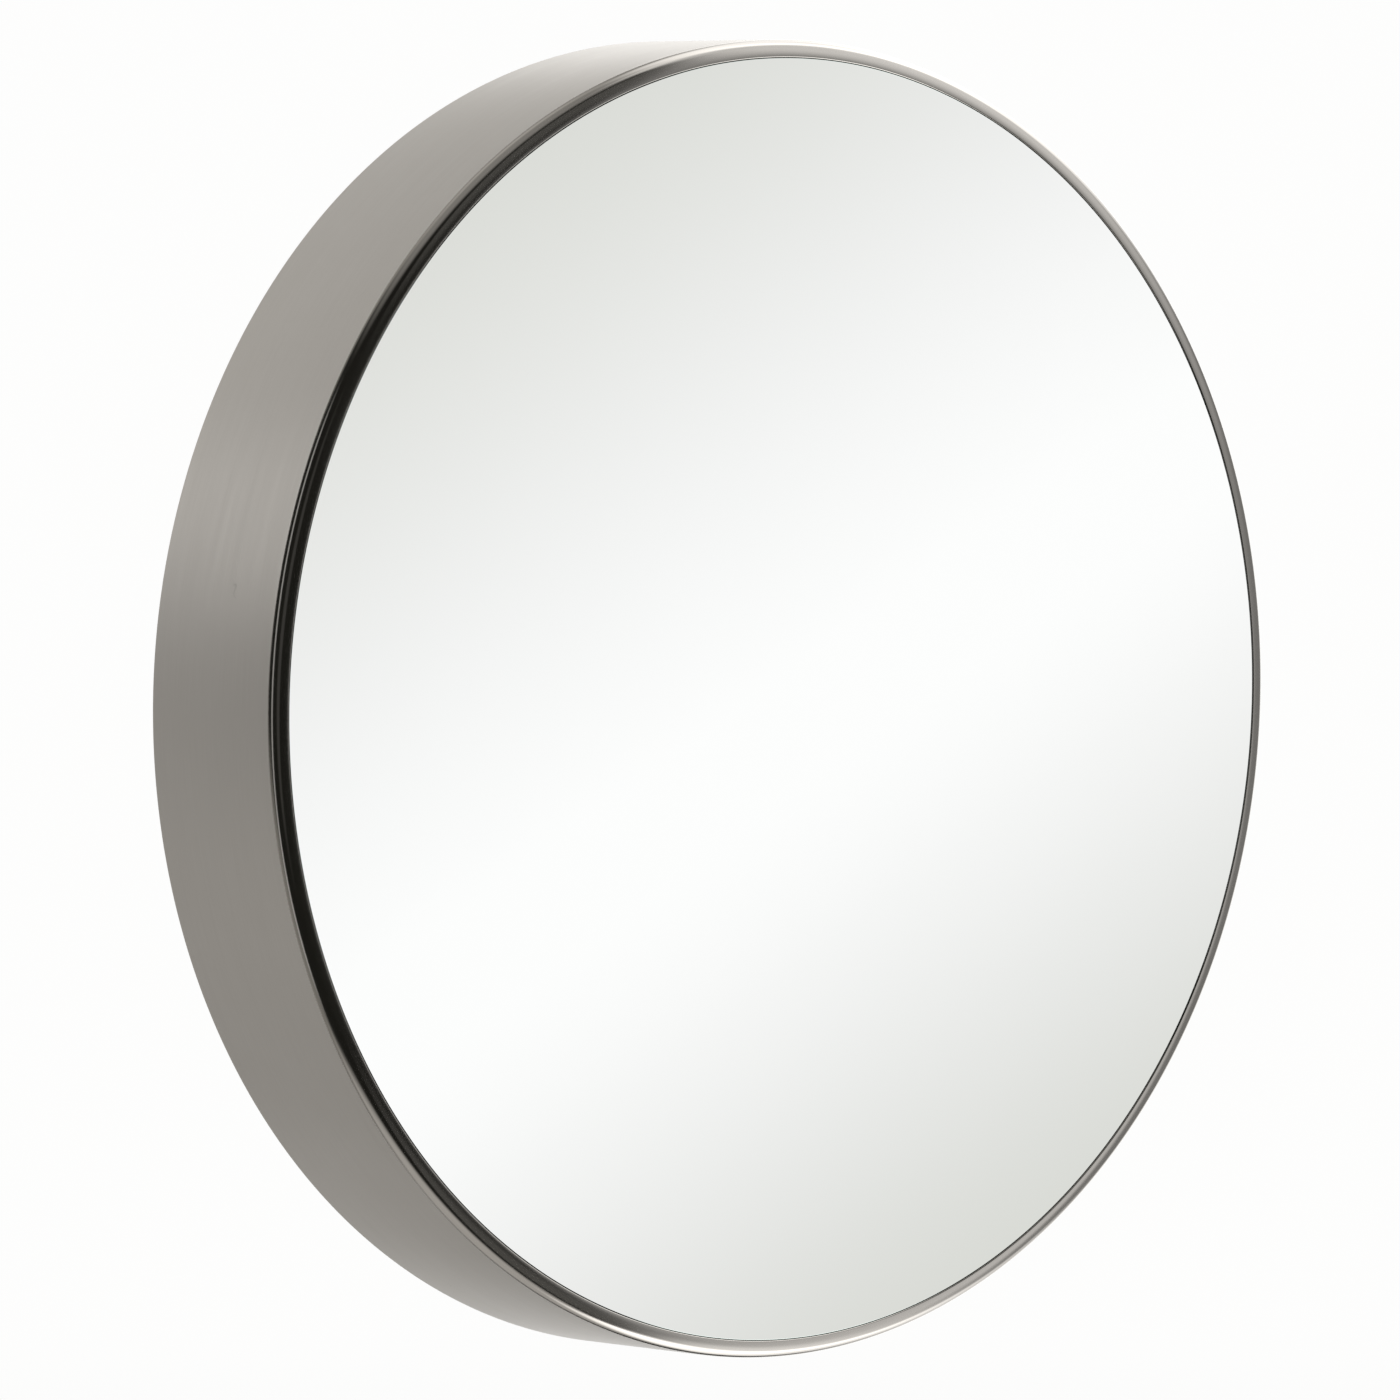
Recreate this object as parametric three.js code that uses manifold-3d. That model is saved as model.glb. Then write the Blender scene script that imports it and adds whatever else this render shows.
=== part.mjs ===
// A round wall mirror with a deep drum frame of brushed stainless steel.
// Millimetres, +Z up, the glass looks towards -Y.
// The origin is the centre of the wall plane that the rubber feet rest against.

import * as THREE from 'three';
import { mergeVertices } from 'three/addons/utils/BufferGeometryUtils.js';
import Module from 'manifold-3d';

// Drum frame: a rolled steel band whose front edge turns in as a narrow lip.
const outerRadius = 305;
const frameDepth = 88;
const sheet = 1.2;
const cornerRadius = 5;
const lipWidth = 8.2;
const lipEdgeRadius = 1;
const hemLength = 6;
const hemChamfer = 0.6;
const wallStandOff = 1;

// Glass pack, from the front backwards. The glass fills the lip's opening, all but flush with
// its crest. Pieces that touch are drawn a hair apart.
const touchGap = 0.3;
const glassSetBack = 0.3;
const glassRadius = 296.5;
const glassThickness = 4;
const glassArris = 0.6;
const filmRadius = 295.5;
const filmThickness = 0.3;
const foamRadius = 294.5;
const foamThickness = 3;
const boardThickness = 6;
const frontBoardRadius = 300;
const rearPanelRadius = 301.5;
const recessDepth = 9;

// Rubber ring behind the lip that centres the glass in the band.
const sealInnerRadius = 296.8;
const sealOuterRadius = 302;
const sealLength = 4;
const sealSetBack = 0.9;

// Wood blocks between the two boards, and the screws that hold them.
const blockSide = 50;
const plainBlockAngles = [0, 90, 180, 225, 270, 315];
const plainBlockRadius = 262;
const shankRadius = 1.8;
const headRadius = 4;
const headHeight = 2.2;
const pilotRadius = 2.15;
const clearanceRadius = 2.2;
const pilotDepth = 24;
const blockScrewLength = 25;
const strapScrewLength = 20;

// Spot-welded tabs, bent down over the rear panel.
const tabCount = 8;
const tabWidth = 18;
const tabThickness = 1;
const tabWallLeg = 25;
const tabPanelLeg = 15;
const tabBendRadius = 1.6;
const tabWallRadius = 303.2;

// Strap hangers with their D-rings.
const hangerX = 180;
const hingeZ = 190;
const strapWidth = 20;
const strapLength = 60;
const strapThickness = 1.5;
const strapScrewDrops = [30, 46];
const knuckleBore = 1.9;
const knuckleRadius = 3.3;
const knuckleSegments = 18;
const strapCorner = 4;
const flatBelowHinge = 1;
const wireRadius = 1.5;
const ringHalfWidth = 12.5;
const ringLeg = 12;
const hangerBlockDrop = 38;
const hangerBlockScrewInset = 18;

// Rubber feet on the rear panel.
const footAngles = [30, 150, 210, 330];
const footCircle = 255;
const footRadius = 10;
const footTipRadius = 9;
const footChamfer = 0.8;

// Facet counts.
const drumSegments = 96;
const boardSegments = 64;
const holeSegments = 12;
const footSegments = 20;
const wireSegments = 10;
const bowSteps = 26;

// Planes across the depth, worked out from the front crest backwards.
const crestY = -(frameDepth + wallStandOff);
const frameRearY = -wallStandOff;
const glassFrontY = crestY + glassSetBack;
const glassRearY = glassFrontY + glassThickness;
const filmFrontY = glassRearY + touchGap;
const foamFrontY = filmFrontY + filmThickness + touchGap;
const frontBoardY = foamFrontY + foamThickness + touchGap;
const blockFrontY = frontBoardY + boardThickness + touchGap;
const panelRearY = frameRearY - recessDepth;
const panelFrontY = panelRearY - boardThickness;
const blockRearY = panelFrontY - touchGap;
const hardwareY = panelRearY + touchGap;
const strapRearY = hardwareY + strapThickness;
const hingeY = hardwareY + knuckleRadius;

const finishes = {
  satinSteel: { color: 0x9c978e, roughness: 0.3, metalness: 1 },
  silveredGlass: { color: 0xe2e6e2, roughness: 0.02, metalness: 1 },
  clearFilm: { color: 0xb9c0c2, roughness: 0.4, metalness: 0 },
  whiteFoam: { color: 0xe9e7e0, roughness: 0.9, metalness: 0 },
  rawBoard: { color: 0xa17a52, roughness: 0.85, metalness: 0 },
  blackBoard: { color: 0x1c1c1d, roughness: 0.7, metalness: 0 },
  pine: { color: 0xd2ac74, roughness: 0.8, metalness: 0 },
  zinc: { color: 0xb4b6b8, roughness: 0.35, metalness: 1 },
  blackRubber: { color: 0x17181a, roughness: 0.9, metalness: 0 },
};

const manifold = await Module();
manifold.setup();

// Turns a closed geometry into a solid that can be cut and joined.
function solidOf(geometry) {
  const bare = geometry.clone();
  bare.deleteAttribute('normal');
  bare.deleteAttribute('uv');
  const merged = mergeVertices(bare, 1e-4);
  return new manifold.Manifold(new manifold.Mesh({
    numProp: 3,
    vertProperties: new Float32Array(merged.attributes.position.array),
    triVerts: new Uint32Array(merged.index.array),
  }));
}

function geometryOf(solid) {
  const mesh = solid.getMesh();
  const geometry = new THREE.BufferGeometry();
  geometry.setAttribute('position', new THREE.BufferAttribute(mesh.vertProperties, 3));
  geometry.setIndex(new THREE.BufferAttribute(mesh.triVerts, 1));
  return geometry;
}

function piece(name, geometry, finish) {
  const mesh = new THREE.Mesh(geometry, new THREE.MeshStandardMaterial(finishes[finish]));
  mesh.name = name;
  return mesh;
}

const radians = (degrees) => THREE.MathUtils.degToRad(degrees);

// A point on the circle about the mirror's axis, at an angle from +X towards +Z.
function around(radius, degrees) {
  const angle = radians(degrees);
  return { x: radius * Math.cos(angle), z: radius * Math.sin(angle) };
}

function arc(centreX, centreY, radius, fromDegrees, toDegrees, steps) {
  return Array.from({ length: steps + 1 }, (_, step) => {
    const angle = radians(fromDegrees + ((toDegrees - fromDegrees) * step) / steps);
    return new THREE.Vector2(centreX + radius * Math.cos(angle), centreY + radius * Math.sin(angle));
  });
}

const at = (radius, y) => new THREE.Vector2(radius, y);

// A flat disc between two planes, revolved about the mirror's axis.
function disc(radius, frontY, rearY) {
  const profile = [at(0, frontY), at(radius, frontY), at(radius, rearY), at(0, rearY)];
  return new THREE.LatheGeometry(profile, boardSegments);
}

// A flat outline in X and Z, made into a plate that runs from frontY to rearY.
function plate(shape, frontY, rearY, curveSegments) {
  const geometry = new THREE.ExtrudeGeometry(shape, {
    depth: rearY - frontY,
    bevelEnabled: false,
    curveSegments,
  });
  geometry.rotateX(Math.PI / 2);
  geometry.translate(0, rearY, 0);
  return geometry;
}

function drillHole(x, z, radius) {
  const hole = new THREE.Path();
  hole.absarc(x, z, radius, 0, 2 * Math.PI, true);
  return hole;
}

// The band, its rounded front corner, the lip and the hemmed rear edge, in one sheet.
function frameShell() {
  const cornerX = outerRadius - cornerRadius;
  const cornerY = crestY + cornerRadius;
  const lipInner = outerRadius - lipWidth;
  const wallInner = outerRadius - sheet;
  const hemInner = outerRadius - 2 * sheet;
  const profile = [
    ...arc(cornerX, cornerY, cornerRadius, -90, 0, 5),
    at(outerRadius, frameRearY - hemChamfer),
    at(outerRadius - hemChamfer, frameRearY),
    at(hemInner + hemChamfer, frameRearY),
    at(hemInner, frameRearY - hemChamfer),
    at(hemInner, frameRearY - hemLength),
    at(wallInner, frameRearY - hemLength - sheet),
    ...arc(cornerX, cornerY, cornerRadius - sheet, 0, -90, 3),
    at(lipInner, crestY + sheet),
    ...arc(lipInner + lipEdgeRadius, crestY + lipEdgeRadius, lipEdgeRadius, 180, 270, 2),
  ];
  profile.push(profile[0].clone());
  return piece('frame_shell', new THREE.LatheGeometry(profile, drumSegments), 'satinSteel');
}

function mirrorGlass() {
  const flatRadius = glassRadius - glassArris;
  const profile = [
    at(0, glassFrontY),
    at(flatRadius, glassFrontY),
    at(glassRadius, glassFrontY + glassArris),
    at(glassRadius, glassRearY - glassArris),
    at(flatRadius, glassRearY),
    at(0, glassRearY),
  ];
  return piece('mirror_glass', new THREE.LatheGeometry(profile, drumSegments), 'silveredGlass');
}

function edgeSeal() {
  const frontY = crestY + sheet + sealSetBack;
  const rearY = frontY + sealLength;
  const profile = [
    at(sealInnerRadius, frontY),
    at(sealOuterRadius, frontY),
    at(sealOuterRadius, rearY),
    at(sealInnerRadius, rearY),
    at(sealInnerRadius, frontY),
  ];
  return piece('edge_seal', new THREE.LatheGeometry(profile, drumSegments), 'blackRubber');
}

function safetyFilm() {
  return piece('safety_film', disc(filmRadius, filmFrontY, filmFrontY + filmThickness), 'clearFilm');
}

function foamPad() {
  return piece('foam_pad', disc(foamRadius, foamFrontY, foamFrontY + foamThickness), 'whiteFoam');
}

function frontBoard() {
  const geometry = disc(frontBoardRadius, frontBoardY, frontBoardY + boardThickness);
  return piece('front_board', geometry, 'rawBoard');
}

// Every block is listed with its centre, its turn and the places of its pilot holes.
function blockPlaces() {
  const plain = plainBlockAngles.map((degrees) => ({
    ...around(plainBlockRadius, degrees),
    turn: degrees,
    pilots: [[0, 0]],
  }));
  const hangers = [-1, 1].map((side) => ({
    x: side * hangerX,
    z: hingeZ - hangerBlockDrop,
    turn: 0,
    pilots: [
      [-side * hangerBlockScrewInset, 0],
      ...strapScrewDrops.map((drop) => [0, hangerBlockDrop - drop]),
    ],
  }));
  return [...plain, ...hangers];
}

// A softwood block, drilled from behind for its screws.
function spacerBlock(place, index) {
  const length = blockRearY - blockFrontY;
  let solid = solidOf(new THREE.BoxGeometry(blockSide, length, blockSide));
  for (const [x, z] of place.pilots) {
    const drill = new THREE.CylinderGeometry(pilotRadius, pilotRadius, 2 * pilotDepth, holeSegments);
    drill.translate(x, length / 2, z);
    solid = solid.subtract(solidOf(drill));
  }
  const block = piece(`spacer_block_${index + 1}`, geometryOf(solid), 'pine');
  block.position.set(place.x, (blockFrontY + blockRearY) / 2, place.z);
  block.rotation.y = -radians(place.turn);
  return block;
}

// Where the block screws pass the rear panel.
function blockScrewPlaces() {
  return blockPlaces().map((place) => {
    const [x, z] = place.pilots[0];
    return { x: place.x + x, z: place.z + z };
  });
}

function strapScrewPlaces() {
  return [-1, 1].flatMap((side) =>
    strapScrewDrops.map((drop) => ({ x: side * hangerX, z: hingeZ - drop })));
}

function rearPanel() {
  const outline = new THREE.Shape();
  outline.absarc(0, 0, rearPanelRadius, 0, 2 * Math.PI, false);
  const board = new THREE.Shape(outline.getPoints(boardSegments / 2));
  for (const { x, z } of [...blockScrewPlaces(), ...strapScrewPlaces()]) {
    board.holes.push(drillHole(x, z, clearanceRadius));
  }
  return piece('rear_panel', plate(board, panelFrontY, panelRearY, holeSegments / 2), 'blackBoard');
}

// A pan-head screw that points forwards, its head seated on the plane seatY.
function screw(name, length, x, seatY, z) {
  const profile = [
    at(0, -length),
    at(shankRadius, -length + 2 * shankRadius),
    at(shankRadius, 0),
    at(headRadius, 0),
    at(headRadius, 0.4 * headHeight),
    at(0.72 * headRadius, 0.85 * headHeight),
    at(0, headHeight),
  ];
  const mesh = piece(name, new THREE.LatheGeometry(profile, holeSegments), 'zinc');
  mesh.position.set(x, seatY, z);
  return mesh;
}

// A bent steel tab: one leg welded to the band, one over the rear panel.
function bendTab(index) {
  const inner = tabWallRadius - tabThickness;
  const outerY = hardwareY + tabThickness;
  const section = new THREE.Shape([
    at(tabWallRadius, outerY - tabWallLeg),
    ...arc(tabWallRadius - tabBendRadius, outerY - tabBendRadius, tabBendRadius, 0, 90, 3),
    at(tabWallRadius - tabPanelLeg, outerY),
    at(tabWallRadius - tabPanelLeg, hardwareY),
    at(inner - touchGap, hardwareY),
    at(inner, hardwareY - touchGap),
    at(inner, outerY - tabWallLeg),
  ]);
  const geometry = new THREE.ExtrudeGeometry(section, { depth: tabWidth, bevelEnabled: false });
  geometry.translate(0, 0, -tabWidth / 2);
  const tab = piece(`bend_tab_${index + 1}`, geometry, 'zinc');
  tab.rotation.y = -radians(((index + 0.5) * 360) / tabCount);
  return tab;
}

// The screwed-down strap, its upper end rolled into a knuckle for the ring's bar.
function hangerStrap(name, x) {
  const bottomZ = hingeZ - strapLength;
  const topZ = hingeZ - flatBelowHinge;
  const half = strapWidth / 2;
  const cornerX = half - strapCorner;
  const cornerZ = bottomZ + strapCorner;
  const outline = new THREE.Shape();
  outline.moveTo(half, topZ);
  outline.lineTo(-half, topZ);
  outline.lineTo(-half, cornerZ);
  outline.absarc(-cornerX, cornerZ, strapCorner, Math.PI, 1.5 * Math.PI, false);
  outline.absarc(cornerX, cornerZ, strapCorner, 1.5 * Math.PI, 2 * Math.PI, false);
  for (const drop of strapScrewDrops) {
    outline.holes.push(drillHole(0, hingeZ - drop, clearanceRadius));
  }
  const flat = plate(outline, hardwareY, strapRearY, holeSegments / 2);

  const roll = new THREE.Shape();
  roll.absarc(0, 0, knuckleRadius, 0, 2 * Math.PI, false);
  roll.holes.push(drillHole(0, 0, knuckleBore));
  const knuckle = new THREE.ExtrudeGeometry(roll, {
    depth: strapWidth,
    bevelEnabled: false,
    curveSegments: knuckleSegments / 2,
  });
  knuckle.translate(0, 0, -half);
  knuckle.rotateY(Math.PI / 2);
  knuckle.translate(0, hingeY, hingeZ);

  const strap = piece(name, geometryOf(solidOf(flat).add(solidOf(knuckle))), 'zinc');
  strap.position.x = x;
  return strap;
}

// The ring's bow: down one leg, round the half circle, up the other leg.
class RingBow extends THREE.Curve {
  getPoint(t, target = new THREE.Vector3()) {
    const bend = Math.PI * ringHalfWidth;
    const run = t * (2 * ringLeg + bend);
    if (run < ringLeg) {
      return target.set(-ringHalfWidth, 0, -run);
    }
    if (run > ringLeg + bend) {
      return target.set(ringHalfWidth, 0, run - bend - 2 * ringLeg);
    }
    const angle = (run - ringLeg) / ringHalfWidth;
    const x = -ringHalfWidth * Math.cos(angle);
    return target.set(x, 0, -ringLeg - ringHalfWidth * Math.sin(angle));
  }
}

function dRing(name, x) {
  const wire = new THREE.Shape();
  wire.absarc(0, 0, wireRadius, 0, 2 * Math.PI, false);
  const section = new THREE.Shape(wire.getPoints(wireSegments / 2));
  const bow = new THREE.ExtrudeGeometry(section, {
    steps: bowSteps,
    bevelEnabled: false,
    extrudePath: new RingBow(),
  });
  const barLength = 2 * (ringHalfWidth + wireRadius);
  const bar = new THREE.CylinderGeometry(wireRadius, wireRadius, barLength, wireSegments);
  bar.rotateZ(Math.PI / 2);
  const ring = piece(name, geometryOf(solidOf(bow).add(solidOf(bar))), 'zinc');
  ring.position.set(x, hingeY, hingeZ);
  return ring;
}

// A stick-on bumper whose tip lies on the wall plane.
function rubberFoot(index) {
  const profile = [
    at(0, hardwareY),
    at(footRadius, hardwareY),
    at(footTipRadius, -footChamfer),
    at(footTipRadius - footChamfer, 0),
    at(0, 0),
  ];
  const geometry = new THREE.LatheGeometry(profile, footSegments);
  const foot = piece(`rubber_foot_${index + 1}`, geometry, 'blackRubber');
  const { x, z } = around(footCircle, footAngles[index]);
  foot.position.set(x, 0, z);
  return foot;
}

const mirror = new THREE.Group();
mirror.add(frameShell(), mirrorGlass(), edgeSeal(), safetyFilm(), foamPad(), frontBoard(), rearPanel());
blockPlaces().forEach((place, index) => mirror.add(spacerBlock(place, index)));
blockScrewPlaces().forEach(({ x, z }, index) => {
  mirror.add(screw(`block_screw_${index + 1}`, blockScrewLength, x, hardwareY, z));
});
for (let index = 0; index < tabCount; index += 1) {
  mirror.add(bendTab(index));
}
strapScrewPlaces().forEach(({ x, z }, index) => {
  mirror.add(screw(`strap_screw_${index + 1}`, strapScrewLength, x, strapRearY + touchGap, z));
});
for (const [side, sign] of [['left', -1], ['right', 1]]) {
  mirror.add(hangerStrap(`hanger_strap_${side}`, sign * hangerX));
  mirror.add(dRing(`d_ring_${side}`, sign * hangerX));
}
footAngles.forEach((_, index) => mirror.add(rubberFoot(index)));

export default mirror;
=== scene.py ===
import math

import bmesh
import bpy
from mathutils import Matrix, Vector


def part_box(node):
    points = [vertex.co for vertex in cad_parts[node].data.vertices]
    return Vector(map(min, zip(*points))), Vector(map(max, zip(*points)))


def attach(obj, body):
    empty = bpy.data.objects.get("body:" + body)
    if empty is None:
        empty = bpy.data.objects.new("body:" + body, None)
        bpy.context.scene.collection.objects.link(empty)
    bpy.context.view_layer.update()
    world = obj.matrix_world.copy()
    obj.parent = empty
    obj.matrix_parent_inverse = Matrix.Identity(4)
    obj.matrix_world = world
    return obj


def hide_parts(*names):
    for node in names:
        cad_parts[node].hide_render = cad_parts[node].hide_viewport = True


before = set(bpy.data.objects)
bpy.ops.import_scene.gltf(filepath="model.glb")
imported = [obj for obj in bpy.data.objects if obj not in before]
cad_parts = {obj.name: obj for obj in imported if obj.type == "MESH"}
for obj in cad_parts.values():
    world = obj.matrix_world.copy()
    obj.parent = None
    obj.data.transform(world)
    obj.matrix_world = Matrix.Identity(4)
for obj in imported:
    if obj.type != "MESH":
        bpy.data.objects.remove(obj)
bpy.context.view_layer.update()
mm = 0.001
scene = bpy.context.scene
mirrorBody = "mirror_body"

shellLow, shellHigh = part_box("frame_shell")
outerRadius = shellHigh.x
crestY = shellLow.y
rearY = shellHigh.y
crestCentre = Vector((0, crestY, 0))


def directionAt(azimuth, elevation):
    # azimuth 0 is straight in front of the glass, 90 is to its right, both in degrees
    a, e = math.radians(azimuth), math.radians(elevation)
    return Vector((math.sin(a) * math.cos(e), -math.cos(a) * math.cos(e), math.sin(e)))


camera = dict(
    azimuth=-41.4,
    elevation=2.67,
    distance=16.5 * outerRadius,
    aside=0.136 * outerRadius,  # aimed this far to the left of the glass's middle
    lens=279.8,
    sensor=36,
    nearest=0.1,
    farthest=100,
)


def placeCamera():
    data = bpy.data.cameras.new("productCamera")
    data.lens = camera["lens"]
    data.sensor_width = camera["sensor"]
    data.clip_start = camera["nearest"]
    data.clip_end = camera["farthest"]
    view = bpy.data.objects.new("productCamera", data)
    scene.collection.objects.link(view)
    away = directionAt(camera["azimuth"], camera["elevation"])
    view.location = crestCentre + away * camera["distance"]
    toLeft = away.cross(Vector((0, 0, 1))).normalized()
    aim = crestCentre + toLeft * camera["aside"]
    view.rotation_mode = "QUATERNION"
    view.rotation_quaternion = (aim - view.location).to_track_quat("-Z", "Y")
    scene.camera = view
    print("camera placed")


placeCamera()


# small helpers for node trees
def node(tree, kind, **settings):
    made = tree.nodes.new(kind)
    for key, value in settings.items():
        setattr(made, key, value)
    return made


def feed(tree, value, socket):
    # a number or colour is set on the socket, anything else is linked to it
    if isinstance(value, bpy.types.NodeSocket):
        tree.links.new(value, socket)
    else:
        socket.default_value = value


def calc(tree, operation, *values):
    made = node(tree, "ShaderNodeMath", operation=operation)
    for socket, value in zip(made.inputs, values):
        feed(tree, value, socket)
    return made.outputs[0]


def vectorCalc(tree, operation, *values):
    made = node(tree, "ShaderNodeVectorMath", operation=operation)
    for socket, value in zip(made.inputs, values):
        feed(tree, value, socket)
    return made.outputs["Value" if operation in ("DOT_PRODUCT", "LENGTH") else "Vector"]


def spread(tree, value, low, high, toLow=0.0, toHigh=1.0, soft=False):
    made = node(tree, "ShaderNodeMapRange", interpolation_type="SMOOTHSTEP" if soft else "LINEAR")
    names = ("Value", "From Min", "From Max", "To Min", "To Max")
    for name, number in zip(names, (value, low, high, toLow, toHigh)):
        feed(tree, number, made.inputs[name])
    return made.outputs["Result"]


def blendColours(tree, share, first, second):
    made = node(tree, "ShaderNodeMix", data_type="RGBA")
    feed(tree, share, made.inputs["Factor"])
    feed(tree, first, made.inputs[6])  # 6, 7 and output 2 are the colour sockets
    feed(tree, second, made.inputs[7])
    return made.outputs[2]


def noise(tree, vector, scale, detail=2.0, roughness=0.5, distortion=0.0):
    made = node(tree, "ShaderNodeTexNoise")
    feed(tree, vector, made.inputs["Vector"])
    names = ("Scale", "Detail", "Roughness", "Distortion")
    for name, number in zip(names, (scale, detail, roughness, distortion)):
        feed(tree, number, made.inputs[name])
    return made.outputs["Fac"]


def ramp(tree, value, stops, interpolation):
    made = node(tree, "ShaderNodeValToRGB")
    made.color_ramp.interpolation = interpolation
    points = made.color_ramp.elements
    while len(points) < len(stops):
        points.new(0.5)
    for point, (place, colour) in zip(points, stops):
        point.position = place
        point.color = (*colour, 1)
    feed(tree, value, made.inputs[0])
    return made.outputs[0]


# soft patches of light on the room's walls, and a pale backdrop; angles are in degrees
studio = dict(
    backdrop=(0.985, 0.985, 0.98),
    dark=(0.014, 0.014, 0.012),
    patches=[  # azimuth, elevation, full to, gone at (degrees), strength, tint
        (-170, -10, 20, 54, 0.29, (1.0, 0.965, 0.915)),  # left of the backdrop
        (180, 45, 16, 48, 0.33, (1.0, 0.98, 0.935)),  # top of the backdrop
        (150, -1, 10, 36, 1.25, (1.0, 1.0, 0.99)),  # right of the backdrop
        (0, -90, 20, 46, 0.48, (1.0, 0.98, 0.95)),  # floor
        (20, 80, 18, 44, 0.26, (1.0, 0.98, 0.95)),  # ceiling
        (-112, -34, 8, 34, 0.22, (1.0, 0.97, 0.92)),  # left wall
        (-140, 20, 5, 16, 0.6, (1.0, 1.0, 1.0)),
        (-12, 4, 8, 22, 0.045, (1.0, 0.99, 0.97)),  # faint, straight in front
        (30, 22, 6, 16, 0.07, (1.0, 0.99, 0.96)),
        (30, -26, 6, 16, 0.08, (1.0, 0.99, 0.96)),
    ],
    flagged=[  # the same, but cut off to the left of a black flag
        (92, 42, 14, 34, 1.4, (1.0, 1.0, 1.0)),  # softbox, upper right
        (46, 32, 12, 36, 0.75, (1.0, 1.0, 1.0)),
        (124, 22, 8, 26, 0.9, (1.0, 1.0, 1.0)),
        (68, -50, 13, 32, 1.2, (1.0, 1.0, 1.0)),  # table, lower right
        (44, -42, 8, 26, 0.9, (1.0, 1.0, 1.0)),
        (42, -14, 6, 15, 0.55, (1.0, 1.0, 1.0)),
        (115, -16, 12, 30, 0.9, (1.0, 1.0, 1.0)),
        (84, 0, 30, 52, 0.22, (1.0, 1.0, 1.0)),
    ],
    flag=39,  # azimuth
    flagBlur=0.045,
    strip=dict(azimuth=-79, halfWidth=4, feather=4, reach=34, soften=14, strength=0.45),  # at the left
    fillTop=(0.95, 0.96, 0.98),
    fillLow=(0.62, 0.61, 0.59),
    fillSpan=(-0.6, 0.8),
)


# what the glass looks into
screen = dict(
    across=(0.440, 0.389, -0.809),
    start=-0.0334,
    period=0.1182,
    shift=0.5,  # of a period
    stops=[
        (0.00, (0.682, 0.690, 0.650)),
        (0.16, (0.780, 0.784, 0.762)),
        (0.32, (0.905, 0.905, 0.905)),
        (0.48, (1.000, 1.000, 1.000)),
        (0.58, (1.015, 1.015, 1.015)),
        (0.70, (0.955, 0.955, 0.955)),
        (0.86, (0.785, 0.788, 0.772)),
        (1.00, (0.682, 0.690, 0.650)),
    ],
)


def cosine(degrees):
    return math.cos(math.radians(degrees))


def sine(degrees):
    return math.sin(math.radians(degrees))


def addLight(tree, total, glow, tint=(1, 1, 1)):
    shade = node(tree, "ShaderNodeVectorMath", operation="SCALE")
    shade.inputs[0].default_value = tint
    tree.links.new(glow, shade.inputs["Scale"])
    return vectorCalc(tree, "ADD", total, shade.outputs[0])


def roomLight(tree, toward):
    # what satin metal and paint reflect: a dark room with soft bright patches
    total = studio["dark"]
    blur = studio["flagBlur"]
    beyond = vectorCalc(tree, "DOT_PRODUCT", toward, directionAt(studio["flag"] + 90, 0))
    beyond = spread(tree, beyond, -blur, blur, 0, 1, True)
    for flagged, patches in ((False, studio["patches"]), (True, studio["flagged"])):
        for azimuth, elevation, full, gone, strength, tint in patches:
            near = vectorCalc(tree, "DOT_PRODUCT", toward, directionAt(azimuth, elevation))
            glow = spread(tree, near, cosine(gone), cosine(full), 0, strength, True)
            total = addLight(tree, total, calc(tree, "MULTIPLY", glow, beyond) if flagged else glow, tint)
    strip = studio["strip"]
    off = vectorCalc(tree, "DOT_PRODUCT", toward, directionAt(strip["azimuth"] + 90, 0))
    outer = sine(strip["halfWidth"] + strip["feather"])
    off = calc(tree, "ABSOLUTE", off)
    wide = spread(tree, off, outer, sine(strip["halfWidth"]), 0, strip["strength"], True)
    near = vectorCalc(tree, "DOT_PRODUCT", toward, directionAt(strip["azimuth"], 0))
    tall = spread(tree, near, cosine(strip["reach"] + strip["soften"]), cosine(strip["reach"]), 0, 1, True)
    return addLight(tree, total, calc(tree, "MULTIPLY", wide, tall))


def screenLight(tree, toward):
    # the soft diagonal bands that the glass reflects
    along = vectorCalc(tree, "DOT_PRODUCT", toward, screen["across"])
    turns = calc(tree, "DIVIDE", calc(tree, "ADD", along, screen["start"]), screen["period"])
    turns = calc(tree, "FRACT", calc(tree, "ADD", turns, screen["shift"]))
    return ramp(tree, turns, screen["stops"], "B_SPLINE")


def fillLight(tree, toward):
    height = node(tree, "ShaderNodeSeparateXYZ")
    tree.links.new(toward, height.inputs[0])
    share = spread(tree, height.outputs["Z"], *studio["fillSpan"])
    return blendColours(tree, share, (*studio["fillLow"], 1), (*studio["fillTop"], 1))


def studioWorld():
    world = bpy.data.worlds.new("softStudio")
    scene.world = world
    world.use_nodes = True
    world.cycles.sampling_method = "NONE"
    tree = world.node_tree
    tree.nodes.clear()
    toward = node(tree, "ShaderNodeTexCoord").outputs["Generated"]
    seen = node(tree, "ShaderNodeLightPath")
    whole = node(tree, "ShaderNodeBackground")
    tree.links.new(roomLight(tree, toward), whole.inputs["Color"])
    # the polished glass sends mirror-sharp rays, which see the screen
    rays = [
        ("Is Singular Ray", screenLight(tree, toward)),
        ("Is Diffuse Ray", fillLight(tree, toward)),
        ("Is Camera Ray", (*studio["backdrop"], 1)),
    ]
    for ray, colour in rays:
        other = node(tree, "ShaderNodeBackground")
        feed(tree, colour, other.inputs["Color"])
        choice = node(tree, "ShaderNodeMixShader")
        tree.links.new(seen.outputs[ray], choice.inputs[0])
        tree.links.new(whole.outputs[0], choice.inputs[1])
        tree.links.new(other.outputs[0], choice.inputs[2])
        whole = choice
    out = node(tree, "ShaderNodeOutputWorld")
    tree.links.new(whole.outputs[0], out.inputs[0])


lamps = dict(away=3.2, each=[  # name, azimuth, elevation, size, power
    ("keyLight", -70, 50, 2.2, 46),
    ("backLight", 200, 40, 2.0, 40),
])


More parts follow.
